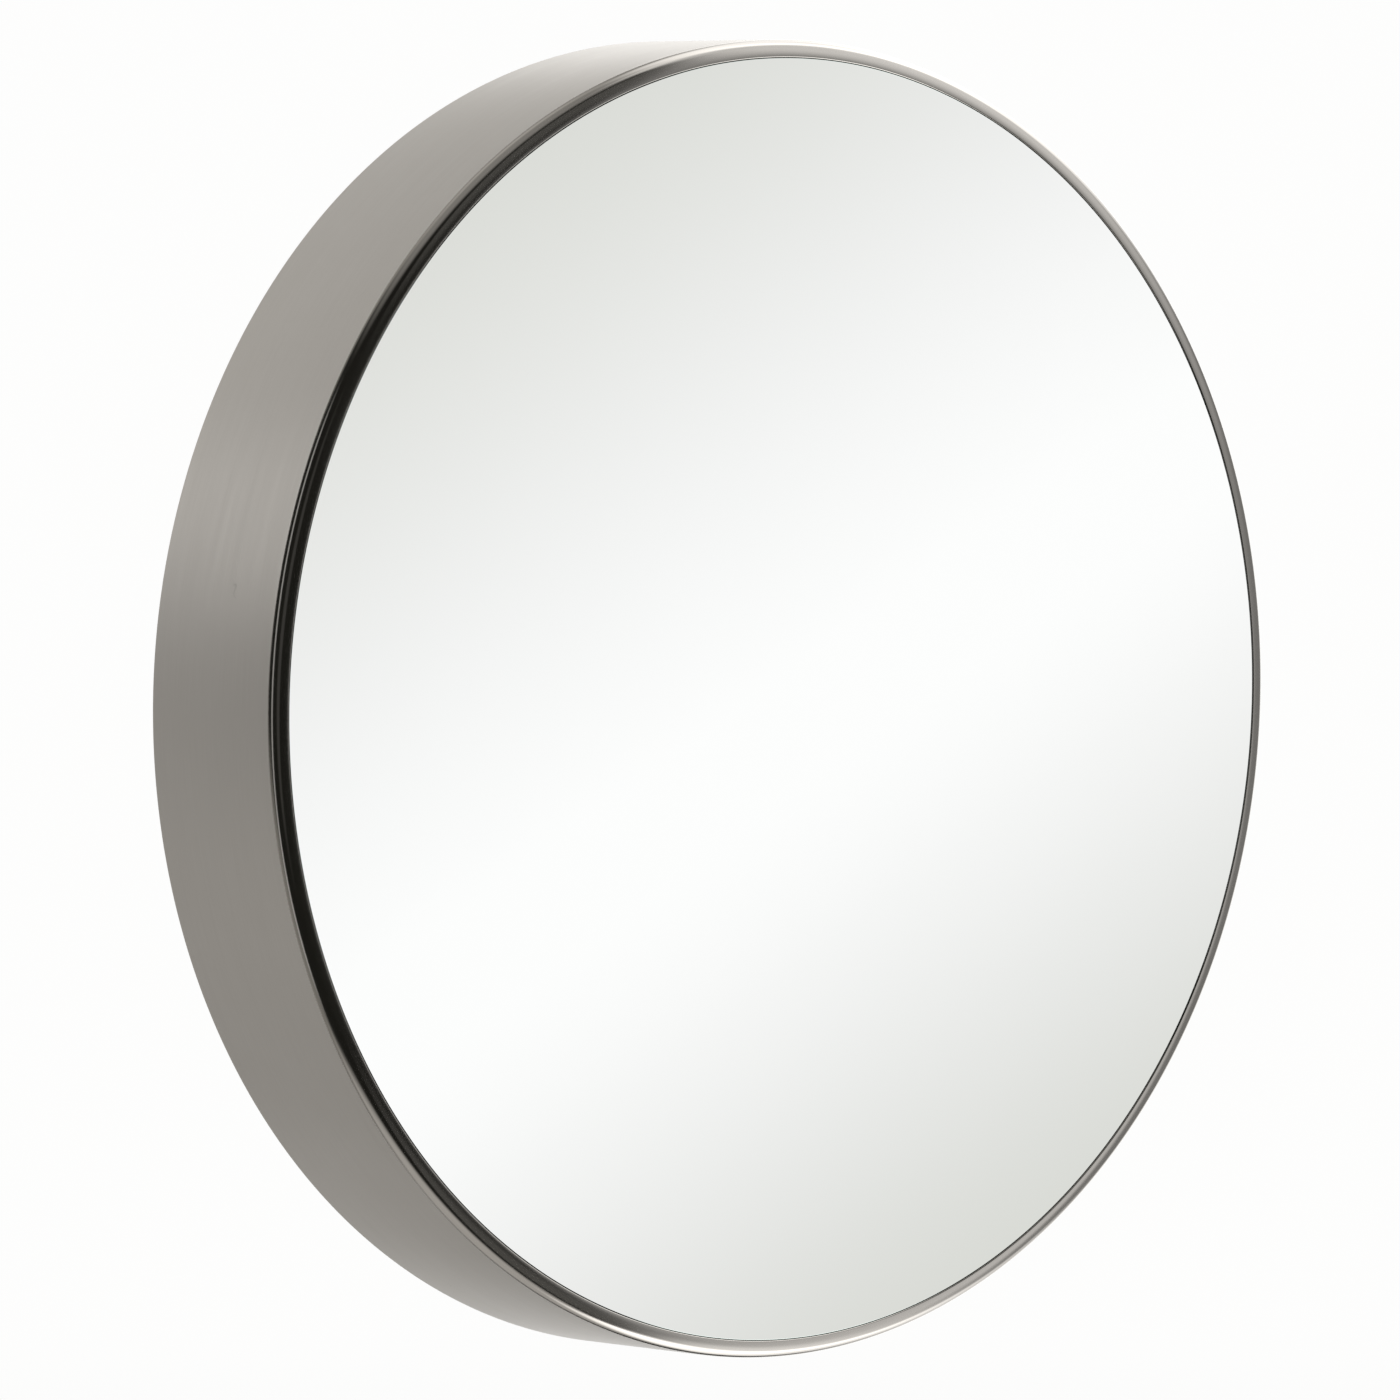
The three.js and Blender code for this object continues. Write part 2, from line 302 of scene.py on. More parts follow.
def softLights():
    for name, azimuth, elevation, size, power in lamps["each"]:
        data = bpy.data.lights.new(name, "AREA")
        data.shape = "DISK"
        data.size = size
        data.energy = power
        light = bpy.data.objects.new(name, data)
        scene.collection.objects.link(light)
        light.location = directionAt(azimuth, elevation) * lamps["away"]
        light.rotation_mode = "QUATERNION"
        light.rotation_quaternion = (-light.location).to_track_quat("-Z", "Y")
        light.visible_glossy = False
        light.visible_camera = False


floor = dict(
    drop=0.75,
    radius=4.5,
    solidTo=1.4,
    clearFrom=0.98,  # of the radius
    colour=(0.86, 0.86, 0.85),
    mottle=0.985,
    mottleScale=6,
    steps=96,
)


def paleFloor():
    mesh = bpy.data.meshes.new("paleFloor")
    made = bmesh.new()
    bmesh.ops.create_circle(made, cap_ends=True, segments=floor["steps"], radius=floor["radius"])
    made.to_mesh(mesh)
    made.free()
    disc = bpy.data.objects.new("paleFloor", mesh)
    scene.collection.objects.link(disc)
    disc.location.z = -floor["drop"]
    paint = bpy.data.materials.new("paleFloor")
    paint.use_nodes = True
    tree = paint.node_tree
    tree.nodes.clear()
    place = node(tree, "ShaderNodeTexCoord").outputs["Object"]
    matt = node(tree, "ShaderNodeBsdfDiffuse")
    grain = noise(tree, place, floor["mottleScale"], detail=3)
    low = (*[c * floor["mottle"] for c in floor["colour"]], 1)
    tree.links.new(blendColours(tree, grain, low, (*floor["colour"], 1)), matt.inputs["Color"])
    clear = node(tree, "ShaderNodeBsdfTransparent")
    far = vectorCalc(tree, "LENGTH", place)
    mix = node(tree, "ShaderNodeMixShader")
    gone = spread(tree, far, floor["solidTo"], floor["radius"] * floor["clearFrom"], 0, 1, True)
    tree.links.new(gone, mix.inputs[0])
    tree.links.new(matt.outputs[0], mix.inputs[1])
    tree.links.new(clear.outputs[0], mix.inputs[2])
    out = node(tree, "ShaderNodeOutputMaterial")
    tree.links.new(mix.outputs[0], out.inputs[0])
    mesh.materials.append(paint)
    disc.visible_glossy = False


studioWorld()
softLights()
paleFloor()
scene.view_settings.view_transform = "Standard"
print("studio built")


# shared effects, each a node group with its own inputs
def startGroup(name, inputs, outputs):
    group = bpy.data.node_groups.new(name, "ShaderNodeTree")
    for label, value in inputs:
        socket = group.interface.new_socket(label, in_out="INPUT", socket_type="NodeSocketFloat")
        socket.default_value = value
    for label in outputs:
        group.interface.new_socket(label, in_out="OUTPUT", socket_type="NodeSocketFloat")
    return group, node(group, "NodeGroupInput"), node(group, "NodeGroupOutput")


def turnedGrain():
    # fine lines that run round the mirror's axis, as a belt leaves them
    group, given, result = startGroup("turnedGrain", [("Lines", 2600.0), ("Runs", 5.0)], ["Grain"])
    place = node(group, "ShaderNodeTexCoord").outputs["Object"]
    parts = node(group, "ShaderNodeSeparateXYZ")
    group.links.new(place, parts.inputs[0])
    x, y, z = parts.outputs
    squares = calc(group, "ADD", calc(group, "MULTIPLY", x, x), calc(group, "MULTIPLY", z, z))
    radius = calc(group, "SQRT", squares)
    safe = calc(group, "MAXIMUM", radius, 1 * mm)
    runs = calc(group, "DIVIDE", given.outputs["Runs"], safe)
    joined = node(group, "ShaderNodeCombineXYZ")
    feed(group, calc(group, "MULTIPLY", x, runs), joined.inputs[0])
    over = calc(group, "SUBTRACT", radius, y)  # changes across the wall and across the lip alike
    feed(group, calc(group, "MULTIPLY", over, given.outputs["Lines"]), joined.inputs[1])
    feed(group, calc(group, "MULTIPLY", z, runs), joined.inputs[2])
    grain = noise(group, joined.outputs[0], 1.0, detail=3, roughness=0.65)
    feed(group, grain, result.inputs["Grain"])
    return group


def cloudiness():
    # slow, soft change from place to place
    group, given, result = startGroup("cloudiness", [("Scale", 20.0), ("Detail", 3.0)], ["Cloud"])
    place = node(group, "ShaderNodeTexCoord").outputs["Object"]
    scale, detail = given.outputs["Scale"], given.outputs["Detail"]
    cloud = noise(group, place, scale, detail, roughness=0.55, distortion=0.3)
    feed(group, cloud, result.inputs["Cloud"])
    return group


handling = dict(
    hair=0.0035,
    patchScale=1.7,
    patchEdge=0.86,
    patchGrowth=0.36,  # how far a full Amount lowers the edge
    patchFade=0.04,
    rubScale=0.6,
    rub=(0.52, 0.74),
)


def handlingMarks():
    # sparse hair scratches that lie any way, and rubbed spots
    inputs = [("Scale", 30.0), ("Amount", 0.5)]
    group, given, result = startGroup("handlingMarks", inputs, ["Scratch", "Rub"])
    scale, amount = given.outputs["Scale"], given.outputs["Amount"]
    place = node(group, "ShaderNodeTexCoord").outputs["Object"]
    bent = noise(group, place, scale, detail=1, roughness=0.4, distortion=1.2)
    line = calc(group, "ABSOLUTE", calc(group, "SUBTRACT", bent, 0.5))
    thin = spread(group, line, 0.0, handling["hair"], 1, 0)
    patchScale = calc(group, "MULTIPLY", scale, handling["patchScale"])
    patch = noise(group, place, patchScale, detail=2, roughness=0.6)
    growth = calc(group, "MULTIPLY", amount, handling["patchGrowth"])
    edge = calc(group, "SUBTRACT", handling["patchEdge"], growth)
    few = spread(group, patch, edge, calc(group, "ADD", edge, handling["patchFade"]), 0, 1)
    feed(group, calc(group, "MULTIPLY", thin, few), result.inputs["Scratch"])
    rub = noise(group, place, calc(group, "MULTIPLY", scale, handling["rubScale"]), detail=5, roughness=0.7)
    feed(group, spread(group, rub, *handling["rub"], 0, amount, True), result.inputs["Rub"])
    return group


effects = dict(turnedGrain=turnedGrain(), cloudiness=cloudiness(), handlingMarks=handlingMarks())


def effect(tree, name, **values):
    made = node(tree, "ShaderNodeGroup", node_tree=effects[name])
    for key, value in values.items():
        made.inputs[key].default_value = value
    return made.outputs


def startFinish(name, **plain):
    # a Principled shader with its plain numbers set on its own sockets
    material = bpy.data.materials.new(name)
    material.use_nodes = True
    tree = material.node_tree
    shader = tree.nodes["Principled BSDF"]
    for key, value in plain.items():
        shader.inputs[key.replace("_", " ")].default_value = value
    return material, tree, shader


def between(tree, cloud, low, high):
    # nearly all of a cloud's values lie from 0.3 to 0.7
    return spread(tree, cloud, 0.3, 0.7, low, high)


def mixOf(tree, first, firstShare, second, secondShare):
    weighed = calc(tree, "MULTIPLY", first, firstShare)
    return calc(tree, "ADD", weighed, calc(tree, "MULTIPLY", second, secondShare))


def relief(tree, shader, height, distance):
    bump = node(tree, "ShaderNodeBump")
    bump.inputs["Distance"].default_value = distance
    feed(tree, height, bump.inputs["Height"])
    tree.links.new(bump.outputs[0], shader.inputs["Normal"])


# finishes: a rough pair is the least and the most, and a relief is a depth in metres
satin = dict(
    light=(0.67, 0.642, 0.605, 1),
    deep=(0.61, 0.580, 0.540, 1),
    scratch=(0.36, 0.35, 0.33, 1),
    wall=(0.33, 0.41),  # rough
    lip=(0.11, 0.16),  # rough, where buffed
    lipDepth=5.5 * mm,
    wallMetal=0.84,
    relief=0.0000025,
)


def satinSteel():
    # belt-brushed all round, the front corner and lip buffed brighter
    material, tree, shader = startFinish("satinSteel", Anisotropic=0.6, Anisotropic_Rotation=0.25)
    tangent = node(tree, "ShaderNodeTangent", direction_type="RADIAL", axis="Y")
    tree.links.new(tangent.outputs[0], shader.inputs["Tangent"])
    place = node(tree, "ShaderNodeSeparateXYZ")
    tree.links.new(node(tree, "ShaderNodeTexCoord").outputs["Object"], place.inputs[0])
    depth = satin["lipDepth"]
    buffed = spread(tree, place.outputs["Y"], crestY + depth, crestY + 0.7 * depth, 0, 1, True)
    grain = effect(tree, "turnedGrain", Lines=2400, Runs=7)["Grain"]
    broad = effect(tree, "turnedGrain", Lines=240, Runs=3)["Grain"]
    cloud = effect(tree, "cloudiness", Scale=9, Detail=4)["Cloud"]
    marks = effect(tree, "handlingMarks", Scale=26, Amount=0.42)
    tone = mixOf(tree, grain, 0.45, cloud, 0.55)
    colour = blendColours(tree, between(tree, tone, 0, 1), satin["deep"], satin["light"])
    colour = blendColours(tree, calc(tree, "MULTIPLY", marks["Scratch"], 0.18), colour, satin["scratch"])
    feed(tree, colour, shader.inputs["Base Color"])
    tree.links.new(spread(tree, buffed, 0, 1, satin["wallMetal"], 1.0), shader.inputs["Metallic"])
    change = mixOf(tree, broad, 0.5, cloud, 0.5)
    wallRough = between(tree, change, *satin["wall"])
    lipRough = between(tree, change, *satin["lip"])
    away = calc(tree, "MULTIPLY", calc(tree, "SUBTRACT", lipRough, wallRough), buffed)
    rough = calc(tree, "ADD", wallRough, away)
    rough = calc(tree, "ADD", rough, calc(tree, "MULTIPLY", marks["Scratch"], 0.12))
    rough = calc(tree, "ADD", rough, calc(tree, "MULTIPLY", marks["Rub"], 0.03))
    feed(tree, rough, shader.inputs["Roughness"])
    height = calc(tree, "SUBTRACT", grain, calc(tree, "MULTIPLY", marks["Scratch"], 0.3))
    relief(tree, shader, height, satin["relief"])
    return material


silver = dict(
    face=(0.985, 0.99, 0.985, 1),
    deep=(0.97, 0.98, 0.972, 1),
    # edge is painted shade: the gap under the lip's inner edge, dark and tinted the green of the glass's
    # cut edge
    edge=(0.16, 0.30, 0.24, 1),
    paintedShadeRim=(0.2 * mm, 0.05 * mm),  # how far inside the outline the painted shade of the gap under the lip starts and is full
    rough=(0.0015, 0.003),  # from about 0.0037 the glass no longer sees the screen
    rimRough=0.12,
)


def silveredGlass(radius):
    material, tree, shader = startFinish("silveredGlass", Metallic=1.0)
    place = node(tree, "ShaderNodeTexCoord").outputs["Object"]
    flat = vectorCalc(tree, "LENGTH", vectorCalc(tree, "MULTIPLY", place, (1, 0, 1)))
    start, full = silver["paintedShadeRim"]
    # painted shade: the silver turns dark green in a thin band at its outline, where the lip's gap shades
    # the glass; the same band is made rougher
    paintedShadeRim = spread(tree, flat, radius - start, radius - full)
    cloud = effect(tree, "cloudiness", Scale=5, Detail=2)["Cloud"]
    face = blendColours(tree, cloud, silver["deep"], silver["face"])
    feed(tree, blendColours(tree, paintedShadeRim, face, silver["edge"]), shader.inputs["Base Color"])
    dull = calc(tree, "MULTIPLY", paintedShadeRim, silver["rimRough"])
    feed(tree, calc(tree, "ADD", between(tree, cloud, *silver["rough"]), dull), shader.inputs["Roughness"])
    return material


zinc = dict(
    scratch=(0.9, 0.9, 0.9, 1),
    relief=0.000012,
    screws=dict(light=(0.74, 0.75, 0.76, 1), deep=(0.60, 0.62, 0.64, 1), rough=(0.24, 0.36)),
    tabs=dict(light=(0.62, 0.63, 0.64, 1), deep=(0.48, 0.49, 0.50, 1), rough=(0.32, 0.46)),
    hangers=dict(light=(0.72, 0.73, 0.73, 1), deep=(0.60, 0.61, 0.62, 1), rough=(0.22, 0.34)),
)


def zincPlate(name, look):
    material, tree, shader = startFinish(name, Metallic=1.0)
    cloud = effect(tree, "cloudiness", Scale=160, Detail=5)["Cloud"]
    fine = effect(tree, "cloudiness", Scale=1400, Detail=2)["Cloud"]
    marks = effect(tree, "handlingMarks", Scale=90, Amount=0.7)
    colour = blendColours(tree, spread(tree, cloud, 0.35, 0.65), look["deep"], look["light"])
    colour = blendColours(tree, calc(tree, "MULTIPLY", marks["Scratch"], 0.5), colour, zinc["scratch"])
    feed(tree, colour, shader.inputs["Base Color"])
    worn = calc(tree, "MULTIPLY", marks["Rub"], 0.08)
    feed(tree, calc(tree, "ADD", between(tree, cloud, *look["rough"]), worn), shader.inputs["Roughness"])
    relief(tree, shader, calc(tree, "ADD", fine, calc(tree, "MULTIPLY", cloud, 2)), zinc["relief"])
    return material


blackBoard = dict(
    deep=(0.012, 0.012, 0.013, 1),
    light=(0.024, 0.024, 0.025, 1),
    rubbed=(0.045, 0.044, 0.042, 1),
    scratch=(0.11, 0.10, 0.095, 1),
    rough=(0.5, 0.68),
    relief=0.00006,
)


def blackPaintedBoard():
    material, tree, shader = startFinish("blackPaintedBoard", Specular_IOR_Level=0.4)
    fibre = effect(tree, "cloudiness", Scale=900, Detail=4)["Cloud"]
    cloud = effect(tree, "cloudiness", Scale=14, Detail=4)["Cloud"]
    marks = effect(tree, "handlingMarks", Scale=22, Amount=0.55)
    colour = blendColours(tree, between(tree, fibre, 0, 1), blackBoard["deep"], blackBoard["light"])
    colour = blendColours(tree, calc(tree, "MULTIPLY", marks["Rub"], 0.5), colour, blackBoard["rubbed"])
    scratched = calc(tree, "MULTIPLY", marks["Scratch"], 0.6)
    colour = blendColours(tree, scratched, colour, blackBoard["scratch"])
    feed(tree, colour, shader.inputs["Base Color"])
    feed(tree, between(tree, cloud, *blackBoard["rough"]), shader.inputs["Roughness"])
    relief(tree, shader, fibre, blackBoard["relief"])
    return material


rawFibre = dict(deep=(0.22, 0.135, 0.07, 1), light=(0.42, 0.29, 0.17, 1), rough=(0.74, 0.9), relief=0.00009)


def rawBoard():
    material, tree, shader = startFinish("rawBoard", Specular_IOR_Level=0.3)
    fibre = effect(tree, "cloudiness", Scale=1100, Detail=6)["Cloud"]
    cloud = effect(tree, "cloudiness", Scale=24, Detail=3)["Cloud"]
    tone = spread(tree, mixOf(tree, fibre, 0.6, cloud, 0.4), 0.35, 0.65)
    feed(tree, blendColours(tree, tone, rawFibre["deep"], rawFibre["light"]), shader.inputs["Base Color"])
    feed(tree, between(tree, cloud, *rawFibre["rough"]), shader.inputs["Roughness"])
    relief(tree, shader, fibre, rawFibre["relief"])
    return material


softwood = dict(
    stretch=(60, 9, 60),
    heart=(3.1, 0.4, 1.7),
    rings={"Scale": 0.55, "Distortion": 3.2, "Detail": 3.0, "Detail Scale": 0.6},
    pores=(1600, 60, 1600),
    light=(0.62, 0.40, 0.18, 1),
    deep=(0.42, 0.22, 0.085, 1),
    pore=(0.30, 0.16, 0.06, 1),
    rough=(0.62, 0.8),
    relief=0.0001,
)


def pineWood():
    material, tree, shader = startFinish("pineWood", Specular_IOR_Level=0.35)
    place = node(tree, "ShaderNodeTexCoord").outputs["Object"]
    stretched = vectorCalc(tree, "MULTIPLY", place, softwood["stretch"])
    warped = vectorCalc(tree, "ADD", stretched, softwood["heart"])
    ringNode = node(tree, "ShaderNodeTexWave", wave_type="RINGS", rings_direction="Y")
    tree.links.new(warped, ringNode.inputs["Vector"])
    for key, value in softwood["rings"].items():
        ringNode.inputs[key].default_value = value
    rings = ringNode.outputs["Fac"]
    pores = vectorCalc(tree, "MULTIPLY", place, softwood["pores"])
    pores = noise(tree, pores, 1.0, detail=3, roughness=0.6)
    colour = blendColours(tree, rings, softwood["light"], softwood["deep"])
    colour = blendColours(tree, spread(tree, pores, 0.52, 0.75, 0, 0.5), colour, softwood["pore"])
    feed(tree, colour, shader.inputs["Base Color"])
    feed(tree, spread(tree, pores, 0.2, 0.8, *softwood["rough"]), shader.inputs["Roughness"])
    relief(tree, shader, calc(tree, "ADD", pores, calc(tree, "MULTIPLY", rings, 0.5)), softwood["relief"])
    return material


foam = dict(
    cells=900,
    deep=(0.78, 0.77, 0.73, 1),
    light=(0.87, 0.865, 0.84, 1),
    rough=(0.82, 0.95),
    relief=0.0002,
)


def closedCellFoam():
    material, tree, shader = startFinish("closedCellFoam", Specular_IOR_Level=0.25)
    place = node(tree, "ShaderNodeTexCoord").outputs["Object"]
    cells = node(tree, "ShaderNodeTexVoronoi")
    tree.links.new(place, cells.inputs["Vector"])
    cells.inputs["Scale"].default_value = foam["cells"]
    cloud = effect(tree, "cloudiness", Scale=30, Detail=3)["Cloud"]
    feed(tree, blendColours(tree, cloud, foam["deep"], foam["light"]), shader.inputs["Base Color"])
    feed(tree, between(tree, cloud, *foam["rough"]), shader.inputs["Roughness"])
    relief(tree, shader, cells.outputs["Distance"], foam["relief"])
    return material


film = dict(deep=(0.48, 0.53, 0.55, 1), light=(0.60, 0.65, 0.67, 1), rough=(0.25, 0.42), relief=0.00003)


def milkyFilm():
    material, tree, shader = startFinish("milkyFilm", Specular_IOR_Level=0.5)
    cloud = effect(tree, "cloudiness", Scale=40, Detail=4)["Cloud"]
    fine = effect(tree, "cloudiness", Scale=700, Detail=2)["Cloud"]
    feed(tree, blendColours(tree, cloud, film["deep"], film["light"]), shader.inputs["Base Color"])
    feed(tree, between(tree, cloud, *film["rough"]), shader.inputs["Roughness"])
    relief(tree, shader, fine, film["relief"])
    return material


softBlack = dict(
    deep=(0.014, 0.014, 0.015, 1),
    light=(0.027, 0.027, 0.028, 1),
    rubbed=(0.06, 0.058, 0.055, 1),
    rough=(0.55, 0.75),
    relief=0.00005,
)


def blackRubber():
    material, tree, shader = startFinish("blackRubber", Specular_IOR_Level=0.35)
    fine = effect(tree, "cloudiness", Scale=1500, Detail=4)["Cloud"]
    cloud = effect(tree, "cloudiness", Scale=120, Detail=3)["Cloud"]
    marks = effect(tree, "handlingMarks", Scale=80, Amount=0.6)
    colour = blendColours(tree, cloud, softBlack["deep"], softBlack["light"])
    colour = blendColours(tree, calc(tree, "MULTIPLY", marks["Rub"], 0.5), colour, softBlack["rubbed"])
    feed(tree, colour, shader.inputs["Base Color"])
    feed(tree, between(tree, cloud, *softBlack["rough"]), shader.inputs["Roughness"])
    relief(tree, shader, fine, softBlack["relief"])
    return material


# shapes
def arc(centreR, centreY, radius, start, end, steps):
    # points of a round stretch; an angle is the way the surface faces, 0 outwards and -90 to the front
    points = []
    for step in range(steps + 1):
        a = math.radians(start + (end - start) * step / steps)
        points.append((centreR + radius * math.cos(a), centreY + radius * math.sin(a)))
    return points


def finishPiece(name, mesh, nodes, material, body=mirrorBody, sharp=35):
    mesh.materials.clear()
    mesh.materials.append(material)
    mesh.shade_smooth()
    mesh.set_sharp_from_angle(angle=math.radians(sharp))
    piece = bpy.data.objects.new(name, mesh)
    scene.collection.objects.link(piece)
    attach(piece, body)
    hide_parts(*nodes)
    return piece


def meshFrom(name, made):
    bmesh.ops.recalc_face_normals(made, faces=made.faces)
    mesh = bpy.data.meshes.new(name)
    made.to_mesh(mesh)
    made.free()
    return mesh


def circle(made, radius, y, steps, x=0.0, z=0.0):
    # new points round a circle that faces along Y
    turns = [2 * math.pi * step / steps for step in range(steps)]
    return [made.verts.new((x + radius * math.cos(a), y, z + radius * math.sin(a))) for a in turns]


def joinRows(made, pairs, steps):
    # a row of one point makes triangles, any other makes four-sided faces
    for first, second in pairs:
        for step in range(steps):
            following = (step + 1) % steps
            corners = [first[step % len(first)], first[following % len(first)],
                       second[following % len(second)], second[step % len(second)]]
            unique = list(dict.fromkeys(corners))
            if len(unique) > 2:
                made.faces.new(unique)


def lathe(name, profile, steps, closed=False):
    # turns (radius, y) points round the Y axis; an open profile starts and ends on the axis
    made = bmesh.new()
    rows = []
    for radius, y in profile:
        if radius < 1e-9:
            rows.append([made.verts.new((0, y, 0))])
        else:
            rows.append(circle(made, radius, y, steps))
    pairs = list(zip(rows, rows[1:]))
    if closed:
        pairs.append((rows[-1], rows[0]))
    joinRows(made, pairs, steps)
    return meshFrom(name, made)


def bevelEdges(piece, width, segments=2, angle=40):
    bevel = piece.modifiers.new("softEdges", "BEVEL")
    bevel.width = width
    bevel.segments = segments
    bevel.limit_method = "ANGLE"
    bevel.angle_limit = math.radians(angle)


def cutWith(mesh, cutters):
    # takes every cutter mesh away from the mesh and gives back the result
    block = bpy.data.objects.new("cutting", mesh)
    scene.collection.objects.link(block)
    tools = []
    for cutter in cutters:
        tool = bpy.data.objects.new("cutter", cutter)
        scene.collection.objects.link(tool)
        tools.append(tool)
        cut = block.modifiers.new("cut", "BOOLEAN")
        cut.operation = "DIFFERENCE"
        cut.solver = "EXACT"
        cut.object = tool
    bpy.context.view_layer.update()
    shown = block.evaluated_get(bpy.context.evaluated_depsgraph_get())
    result = bpy.data.meshes.new_from_object(shown)
    for tool in tools:
        bpy.data.objects.remove(tool)
    bpy.data.objects.remove(block)
    return result


def foldedStrip(name, path, thickness, halfWidth, columns):
    # sheet metal that follows a path in (u, v): u becomes X, v becomes Y, and the width lies along Z
    made = bmesh.new()
    lines = [Vector(point) for point in path]
    grid = []
    gone = 0.0
    for index, point in enumerate(lines):
        before, after = lines[max(index - 1, 0)], lines[min(index + 1, len(lines) - 1)]
        tangent = (after - before).normalized()
        side = Vector((-tangent.y, tangent.x))
        if index:
            gone += (point - lines[index - 1]).length
        half = halfWidth(gone)
        row = []
        for face in (-0.5, 0.5):
            flat = point + side * thickness * face
            across = [half * (2 * c / columns - 1) for c in range(columns + 1)]
            row.append([made.verts.new((flat.x, flat.y, z)) for z in across])
        grid.append(row)
    for first, second in zip(grid, grid[1:]):
        for face in (0, 1):
            for c in range(columns):
                made.faces.new((first[face][c], first[face][c + 1], second[face][c + 1], second[face][c]))
        for c in (0, columns):
            made.faces.new((first[0][c], first[1][c], second[1][c], second[0][c]))
    for row in (grid[0], grid[-1]):
        for c in range(columns):
            made.faces.new((row[0][c], row[0][c + 1], row[1][c + 1], row[1][c]))
    return meshFrom(name, made)


def cylinderAlongY(radius, x, z, fromY, toY, steps=40):
    made = bmesh.new()
    place = Matrix.Translation((x, (fromY + toY) / 2, z)) @ Matrix.Rotation(math.pi / 2, 4, "X")
    bmesh.ops.create_cone(made, cap_ends=True, segments=steps, radius1=radius, radius2=radius,
                          depth=toY - fromY, matrix=place)
    return meshFrom("drill", made)


# drum frame: wall, round front corner, slightly crowned lip, hemmed rear edge
drum = dict(
    sheet=1.2 * mm,
    corner=4.7 * mm,
    lip=8.2 * mm,
    crownFrom=14,  # the lip's slope at the corner and at its inner edge, in degrees
    crownTo=1,
    lipEdge=0.5 * mm,
    lipChamfer=0.05 * mm,
    hem=6 * mm,
    hemRound=0.7 * mm,
    steps=720,
)


def drumProfile():
    # round front corner, then the lip crowns gently up to its inner edge
    sheet, corner, edge = drum["sheet"], drum["corner"], drum["lipEdge"]
    innerLip = outerRadius - drum["lip"]
    fromAngle, toAngle = math.radians(drum["crownFrom"]), math.radians(drum["crownTo"])
    width = drum["lip"] - corner * (1 - math.sin(fromAngle)) - edge * (1 - math.sin(toAngle))
    crown = width / (math.sin(fromAngle) - math.sin(toAngle))
    cornerR = outerRadius - corner
    cornerY = crestY + crown - (crown - corner) * math.cos(fromAngle)
    crownR = cornerR - (crown - corner) * math.sin(fromAngle)
    crownY = crestY + crown
    edgeR = crownR + (crown - edge) * math.sin(toAngle)
    edgeY = crownY - (crown - edge) * math.cos(toAngle)
    wallInner = outerRadius - sheet
    hemInner = outerRadius - 2 * sheet
    turn = drum["hemRound"]
    points = arc(outerRadius - turn, rearY - turn, turn, 90, 0, 8)
    points += arc(cornerR, cornerY, corner, 0, drum["crownFrom"] - 90, 40)
    points += arc(crownR, crownY, crown, drum["crownFrom"] - 90, drum["crownTo"] - 90, 16)[1:]
    points += arc(edgeR, edgeY, edge, drum["crownTo"] - 90, -180, 14)[1:]
    lipRear = crestY + sheet
    points += [(innerLip, lipRear - drum["lipChamfer"]), (innerLip + drum["lipChamfer"], lipRear)]
    points += arc(cornerR, cornerY, corner - sheet, -90, 0, 16)
    points += [(wallInner, rearY - drum["hem"] - sheet)]
    points += [(hemInner, rearY - drum["hem"])]
    points += arc(hemInner + turn, rearY - turn, turn, 180, 90, 8)
    return points


def makeDrum(material):
    mesh = lathe("drum_frame", drumProfile(), drum["steps"], closed=True)
    finishPiece("drum_frame", mesh, ["frame_shell"], material)


# the glass, then what lies behind it
pane = dict(arris=0.2 * mm, steps=720)


def makePane():
    low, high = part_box("mirror_glass")
    radius, arris = high.x, pane["arris"]
    profile = [(0, low.y), (radius - arris, low.y), (radius - 0.3 * arris, low.y + 0.3 * arris)]
    profile += [(radius, low.y + arris), (radius, high.y - arris), (radius - arris, high.y), (0, high.y)]
    mesh = lathe("silvered_pane", profile, pane["steps"])
    glass = silveredGlass(radius)
    finishPiece("silvered_pane", mesh, ["mirror_glass"], glass, sharp=20)


seal = dict(innerRadius=296.8 * mm, lipRound=0.5 * mm, ribs=3, ribSteps=8, ribHeight=0.12 * mm, steps=360)


def makeSeal(material):
    low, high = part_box("edge_seal")
    outer, turn = high.x, seal["lipRound"]
    inner = seal["innerRadius"]
    points = arc(outer - turn, low.y + turn, turn, -90, 0, 6)
    span = high.y - low.y - 2 * turn
    stations = seal["ribs"] * seal["ribSteps"]
    for station in range(stations + 1):
        share = station / stations
        dip = seal["ribHeight"] * (0.5 - 0.5 * math.cos(2 * math.pi * seal["ribs"] * share))
        points.append((outer - dip, low.y + turn + span * share))
    points += arc(outer - turn, high.y - turn, turn, 0, 90, 6)
    points += arc(inner + turn, high.y - turn, turn, 90, 180, 6)
    points += arc(inner + turn, low.y + turn, turn, 180, 270, 6)
    mesh = lathe("rubber_seal", points, seal["steps"], closed=True)
    finishPiece("rubber_seal", mesh, ["edge_seal"], material)


edgeRound = dict(film=0.1 * mm, foam=1.2 * mm, board=0.6 * mm, blocks=0.8 * mm)


def roundEdgedDisc(name, nodeName, material, turn, steps=256):
    low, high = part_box(nodeName)
    radius = high.x
    points = [(0, low.y)]
    points += arc(radius - turn, low.y + turn, turn, -90, 0, 5)
    points += arc(radius - turn, high.y - turn, turn, 0, 90, 5)
    points += [(0, high.y)]
    return finishPiece(name, lathe(name, points, steps), [nodeName], material)


def middleOf(name):
    low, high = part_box(name)
    return (low.x + high.x) / 2, (low.z + high.z) / 2


screwSeats = {name: middleOf(name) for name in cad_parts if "_screw_" in name}
panel = dict(screwHole=2.2 * mm, holeSteps=28, steps=256, bevel=0.5 * mm)


